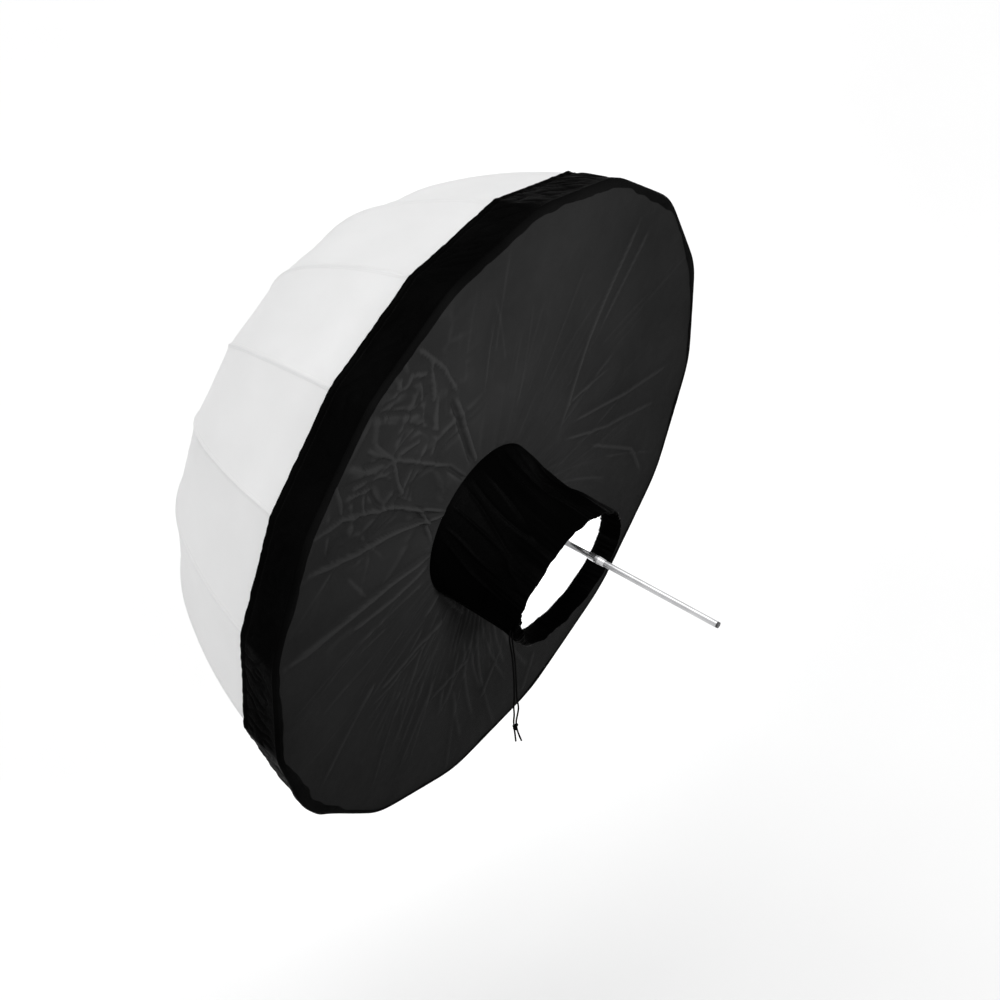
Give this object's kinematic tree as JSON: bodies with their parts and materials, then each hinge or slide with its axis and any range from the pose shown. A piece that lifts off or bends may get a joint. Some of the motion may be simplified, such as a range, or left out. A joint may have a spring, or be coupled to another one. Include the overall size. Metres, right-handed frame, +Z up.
{
  "type": "umbrella reflector",
  "caption": "White dome umbrella reflector with a folding rib frame on a steel shaft, and a black pull-on back cover with an off-centre sleeve closed by a drawcord.",
  "frame": {"origin": "on the shaft's axis, where a clamp holds the shaft, 40 mm in from its free end", "axes": "+Y along the shaft from its free end to the dome's crown, +Z up, +X to the right seen from the free end"},
  "size_m": [0.8434, 0.6648, 0.8434],
  "materials": {
    "white_fabric": "thin translucent white nylon, slightly glossy",
    "grey_satin": "dark grey satin-backed nylon, creased",
    "black_skirt": "black nylon, finely wrinkled",
    "black_sleeve": "soft black coated nylon",
    "cord_black": "thin black braided cord and elastic",
    "bright_steel": "bright plated steel tube",
    "frame_steel": "zinc plated spring steel",
    "black_plastic": "moulded black nylon"
  },
  "bodies": {
    "shaft_and_canopy": {"shaft": "bright_steel", "shaft_plug": "black_plastic", "stop_ferrule": "bright_steel", "crown_hub": "black_plastic", "crown_hub_wire": "frame_steel", "crown_cap": "black_plastic", "catch_pin": "frame_steel", "canopy": "white_fabric"},
    "runner": {"runner": "black_plastic", "runner_wire": "frame_steel"},
    "runner_catch": {"runner_catch": "frame_steel"},
    "back_cover": {"panel_face": "grey_satin", "panel_skirt": "black_skirt", "skirt_elastic": "cord_black", "panel_sleeve": "black_sleeve", "sleeve_hem": "black_sleeve", "drawcord_loop": "cord_black", "drawcord_end_a": "cord_black", "drawcord_end_b": "cord_black", "cord_knot": "cord_black"},
    "rib_01": {"rib_01": "frame_steel"},
    "stretcher_01": {"stretcher_01": "frame_steel"},
    "rib_02": {"rib_02": "frame_steel"},
    "stretcher_02": {"stretcher_02": "frame_steel"},
    "rib_03": {"rib_03": "frame_steel"},
    "stretcher_03": {"stretcher_03": "frame_steel"},
    "rib_04": {"rib_04": "frame_steel"},
    "stretcher_04": {"stretcher_04": "frame_steel"},
    "rib_05": {"rib_05": "frame_steel"},
    "stretcher_05": {"stretcher_05": "frame_steel"},
    "rib_06": {"rib_06": "frame_steel"},
    "stretcher_06": {"stretcher_06": "frame_steel"},
    "rib_07": {"rib_07": "frame_steel"},
    "stretcher_07": {"stretcher_07": "frame_steel"},
    "rib_08": {"rib_08": "frame_steel"},
    "stretcher_08": {"stretcher_08": "frame_steel"},
    "rib_09": {"rib_09": "frame_steel"},
    "stretcher_09": {"stretcher_09": "frame_steel"},
    "rib_10": {"rib_10": "frame_steel"},
    "stretcher_10": {"stretcher_10": "frame_steel"},
    "rib_11": {"rib_11": "frame_steel"},
    "stretcher_11": {"stretcher_11": "frame_steel"},
    "rib_12": {"rib_12": "frame_steel"},
    "stretcher_12": {"stretcher_12": "frame_steel"},
    "rib_13": {"rib_13": "frame_steel"},
    "stretcher_13": {"stretcher_13": "frame_steel"},
    "rib_14": {"rib_14": "frame_steel"},
    "stretcher_14": {"stretcher_14": "frame_steel"},
    "rib_15": {"rib_15": "frame_steel"},
    "stretcher_15": {"stretcher_15": "frame_steel"},
    "rib_16": {"rib_16": "frame_steel"},
    "stretcher_16": {"stretcher_16": "frame_steel"}
  },
  "joints": [
    {"name": "fold", "type": "slide", "parent": "shaft_and_canopy", "child": "runner", "axis": [0, -1, 0], "range_m": [0, 0.34709], "deforming": ["runner_catch"]},
    {"name": "catch_press", "type": "hinge", "parent": "shaft_and_canopy", "child": "runner_catch", "pos_m": [0, 0.47703, 0], "axis": [-1, 0, 0], "range_deg": [0, 7.5], "stiffness_Nm_per_rad": 0.02, "springref_deg": -5.73},
    {"name": "back_cover_off", "type": "slide", "parent": "shaft_and_canopy", "child": "back_cover", "axis": [0, -1, 0], "range_m": [0, 0.3922], "deforming": ["panel_skirt", "skirt_elastic"]},
    {"name": "rib_01_pivot", "type": "hinge", "parent": "shaft_and_canopy", "child": "rib_01", "pos_m": [0.01373, 0.603, 0.00273], "axis": [0.1951, 0, -0.9808], "range_deg": [0, 49.7]},
    {"name": "stretcher_01_pivot", "type": "hinge", "parent": "rib_01", "child": "stretcher_01", "pos_m": [0.25682, 0.55916, 0.05109], "axis": [0.1951, 0, -0.9808], "range_deg": [-99.4, 0]},
    {"name": "rib_02_pivot", "type": "hinge", "parent": "shaft_and_canopy", "child": "rib_02", "pos_m": [0.01164, 0.603, 0.00778], "axis": [0.5556, 0, -0.8315], "range_deg": [0, 49.7]},
    {"name": "stretcher_02_pivot", "type": "hinge", "parent": "rib_02", "child": "stretcher_02", "pos_m": [0.21772, 0.55916, 0.14548], "axis": [0.5556, 0, -0.8315], "range_deg": [-99.4, 0]},
    {"name": "rib_03_pivot", "type": "hinge", "parent": "shaft_and_canopy", "child": "rib_03", "pos_m": [0.00778, 0.603, 0.01164], "axis": [0.8315, 0, -0.5556], "range_deg": [0, 49.7]},
    {"name": "stretcher_03_pivot", "type": "hinge", "parent": "rib_03", "child": "stretcher_03", "pos_m": [0.14548, 0.55916, 0.21772], "axis": [0.8315, 0, -0.5556], "range_deg": [-99.4, 0]},
    {"name": "rib_04_pivot", "type": "hinge", "parent": "shaft_and_canopy", "child": "rib_04", "pos_m": [0.00273, 0.603, 0.01373], "axis": [0.9808, 0, -0.1951], "range_deg": [0, 49.7]},
    {"name": "stretcher_04_pivot", "type": "hinge", "parent": "rib_04", "child": "stretcher_04", "pos_m": [0.05109, 0.55916, 0.25682], "axis": [0.9808, 0, -0.1951], "range_deg": [-99.4, 0]},
    {"name": "rib_05_pivot", "type": "hinge", "parent": "shaft_and_canopy", "child": "rib_05", "pos_m": [-0.00273, 0.603, 0.01373], "axis": [0.9808, 0, 0.1951], "range_deg": [0, 49.7]},
    {"name": "stretcher_05_pivot", "type": "hinge", "parent": "rib_05", "child": "stretcher_05", "pos_m": [-0.05109, 0.55916, 0.25682], "axis": [0.9808, 0, 0.1951], "range_deg": [-99.4, 0]},
    {"name": "rib_06_pivot", "type": "hinge", "parent": "shaft_and_canopy", "child": "rib_06", "pos_m": [-0.00778, 0.603, 0.01164], "axis": [0.8315, 0, 0.5556], "range_deg": [0, 49.7]},
    {"name": "stretcher_06_pivot", "type": "hinge", "parent": "rib_06", "child": "stretcher_06", "pos_m": [-0.14548, 0.55916, 0.21772], "axis": [0.8315, 0, 0.5556], "range_deg": [-99.4, 0]},
    {"name": "rib_07_pivot", "type": "hinge", "parent": "shaft_and_canopy", "child": "rib_07", "pos_m": [-0.01164, 0.603, 0.00778], "axis": [0.5556, 0, 0.8315], "range_deg": [0, 49.7]},
    {"name": "stretcher_07_pivot", "type": "hinge", "parent": "rib_07", "child": "stretcher_07", "pos_m": [-0.21772, 0.55916, 0.14548], "axis": [0.5556, 0, 0.8315], "range_deg": [-99.4, 0]},
    {"name": "rib_08_pivot", "type": "hinge", "parent": "shaft_and_canopy", "child": "rib_08", "pos_m": [-0.01373, 0.603, 0.00273], "axis": [0.1951, 0, 0.9808], "range_deg": [0, 49.7]},
    {"name": "stretcher_08_pivot", "type": "hinge", "parent": "rib_08", "child": "stretcher_08", "pos_m": [-0.25682, 0.55916, 0.05109], "axis": [0.1951, 0, 0.9808], "range_deg": [-99.4, 0]},
    {"name": "rib_09_pivot", "type": "hinge", "parent": "shaft_and_canopy", "child": "rib_09", "pos_m": [-0.01373, 0.603, -0.00273], "axis": [-0.1951, 0, 0.9808], "range_deg": [0, 49.7]},
    {"name": "stretcher_09_pivot", "type": "hinge", "parent": "rib_09", "child": "stretcher_09", "pos_m": [-0.25682, 0.55916, -0.05109], "axis": [-0.1951, 0, 0.9808], "range_deg": [-99.4, 0]},
    {"name": "rib_10_pivot", "type": "hinge", "parent": "shaft_and_canopy", "child": "rib_10", "pos_m": [-0.01164, 0.603, -0.00778], "axis": [-0.5556, 0, 0.8315], "range_deg": [0, 49.7]},
    {"name": "stretcher_10_pivot", "type": "hinge", "parent": "rib_10", "child": "stretcher_10", "pos_m": [-0.21772, 0.55916, -0.14548], "axis": [-0.5556, 0, 0.8315], "range_deg": [-99.4, 0]},
    {"name": "rib_11_pivot", "type": "hinge", "parent": "shaft_and_canopy", "child": "rib_11", "pos_m": [-0.00778, 0.603, -0.01164], "axis": [-0.8315, 0, 0.5556], "range_deg": [0, 49.7]},
    {"name": "stretcher_11_pivot", "type": "hinge", "parent": "rib_11", "child": "stretcher_11", "pos_m": [-0.14548, 0.55916, -0.21772], "axis": [-0.8315, 0, 0.5556], "range_deg": [-99.4, 0]},
    {"name": "rib_12_pivot", "type": "hinge", "parent": "shaft_and_canopy", "child": "rib_12", "pos_m": [-0.00273, 0.603, -0.01373], "axis": [-0.9808, 0, 0.1951], "range_deg": [0, 49.7]},
    {"name": "stretcher_12_pivot", "type": "hinge", "parent": "rib_12", "child": "stretcher_12", "pos_m": [-0.05109, 0.55916, -0.25682], "axis": [-0.9808, 0, 0.1951], "range_deg": [-99.4, 0]},
    {"name": "rib_13_pivot", "type": "hinge", "parent": "shaft_and_canopy", "child": "rib_13", "pos_m": [0.00273, 0.603, -0.01373], "axis": [-0.9808, 0, -0.1951], "range_deg": [0, 49.7]},
    {"name": "stretcher_13_pivot", "type": "hinge", "parent": "rib_13", "child": "stretcher_13", "pos_m": [0.05109, 0.55916, -0.25682], "axis": [-0.9808, 0, -0.1951], "range_deg": [-99.4, 0]},
    {"name": "rib_14_pivot", "type": "hinge", "parent": "shaft_and_canopy", "child": "rib_14", "pos_m": [0.00778, 0.603, -0.01164], "axis": [-0.8315, 0, -0.5556], "range_deg": [0, 49.7]},
    {"name": "stretcher_14_pivot", "type": "hinge", "parent": "rib_14", "child": "stretcher_14", "pos_m": [0.14548, 0.55916, -0.21772], "axis": [-0.8315, 0, -0.5556], "range_deg": [-99.4, 0]},
    {"name": "rib_15_pivot", "type": "hinge", "parent": "shaft_and_canopy", "child": "rib_15", "pos_m": [0.01164, 0.603, -0.00778], "axis": [-0.5556, 0, -0.8315], "range_deg": [0, 49.7]},
    {"name": "stretcher_15_pivot", "type": "hinge", "parent": "rib_15", "child": "stretcher_15", "pos_m": [0.21772, 0.55916, -0.14548], "axis": [-0.5556, 0, -0.8315], "range_deg": [-99.4, 0]},
    {"name": "rib_16_pivot", "type": "hinge", "parent": "shaft_and_canopy", "child": "rib_16", "pos_m": [0.01373, 0.603, -0.00273], "axis": [-0.1951, 0, -0.9808], "range_deg": [0, 49.7]},
    {"name": "stretcher_16_pivot", "type": "hinge", "parent": "rib_16", "child": "stretcher_16", "pos_m": [0.25682, 0.55916, -0.05109], "axis": [-0.1951, 0, -0.9808], "range_deg": [-99.4, 0]}
  ],
  "couplings": [
    {"joint": "back_cover_off", "follows": "fold", "ratio": 1.12},
    {"joint": "rib_01_pivot", "follows": "fold", "rad_per_m": 2.4991},
    {"joint": "stretcher_01_pivot", "follows": "fold", "rad_per_m": -4.9982},
    {"joint": "rib_02_pivot", "follows": "fold", "rad_per_m": 2.4991},
    {"joint": "stretcher_02_pivot", "follows": "fold", "rad_per_m": -4.9982},
    {"joint": "rib_03_pivot", "follows": "fold", "rad_per_m": 2.4991},
    {"joint": "stretcher_03_pivot", "follows": "fold", "rad_per_m": -4.9982},
    {"joint": "rib_04_pivot", "follows": "fold", "rad_per_m": 2.4991},
    {"joint": "stretcher_04_pivot", "follows": "fold", "rad_per_m": -4.9982},
    {"joint": "rib_05_pivot", "follows": "fold", "rad_per_m": 2.4991},
    {"joint": "stretcher_05_pivot", "follows": "fold", "rad_per_m": -4.9982},
    {"joint": "rib_06_pivot", "follows": "fold", "rad_per_m": 2.4991},
    {"joint": "stretcher_06_pivot", "follows": "fold", "rad_per_m": -4.9982},
    {"joint": "rib_07_pivot", "follows": "fold", "rad_per_m": 2.4991},
    {"joint": "stretcher_07_pivot", "follows": "fold", "rad_per_m": -4.9982},
    {"joint": "rib_08_pivot", "follows": "fold", "rad_per_m": 2.4991},
    {"joint": "stretcher_08_pivot", "follows": "fold", "rad_per_m": -4.9982},
    {"joint": "rib_09_pivot", "follows": "fold", "rad_per_m": 2.4991},
    {"joint": "stretcher_09_pivot", "follows": "fold", "rad_per_m": -4.9982},
    {"joint": "rib_10_pivot", "follows": "fold", "rad_per_m": 2.4991},
    {"joint": "stretcher_10_pivot", "follows": "fold", "rad_per_m": -4.9982},
    {"joint": "rib_11_pivot", "follows": "fold", "rad_per_m": 2.4991},
    {"joint": "stretcher_11_pivot", "follows": "fold", "rad_per_m": -4.9982},
    {"joint": "rib_12_pivot", "follows": "fold", "rad_per_m": 2.4991},
    {"joint": "stretcher_12_pivot", "follows": "fold", "rad_per_m": -4.9982},
    {"joint": "rib_13_pivot", "follows": "fold", "rad_per_m": 2.4991},
    {"joint": "stretcher_13_pivot", "follows": "fold", "rad_per_m": -4.9982},
    {"joint": "rib_14_pivot", "follows": "fold", "rad_per_m": 2.4991},
    {"joint": "stretcher_14_pivot", "follows": "fold", "rad_per_m": -4.9982},
    {"joint": "rib_15_pivot", "follows": "fold", "rad_per_m": 2.4991},
    {"joint": "stretcher_15_pivot", "follows": "fold", "rad_per_m": -4.9982},
    {"joint": "rib_16_pivot", "follows": "fold", "rad_per_m": 2.4991},
    {"joint": "stretcher_16_pivot", "follows": "fold", "rad_per_m": -4.9982}
  ]
}
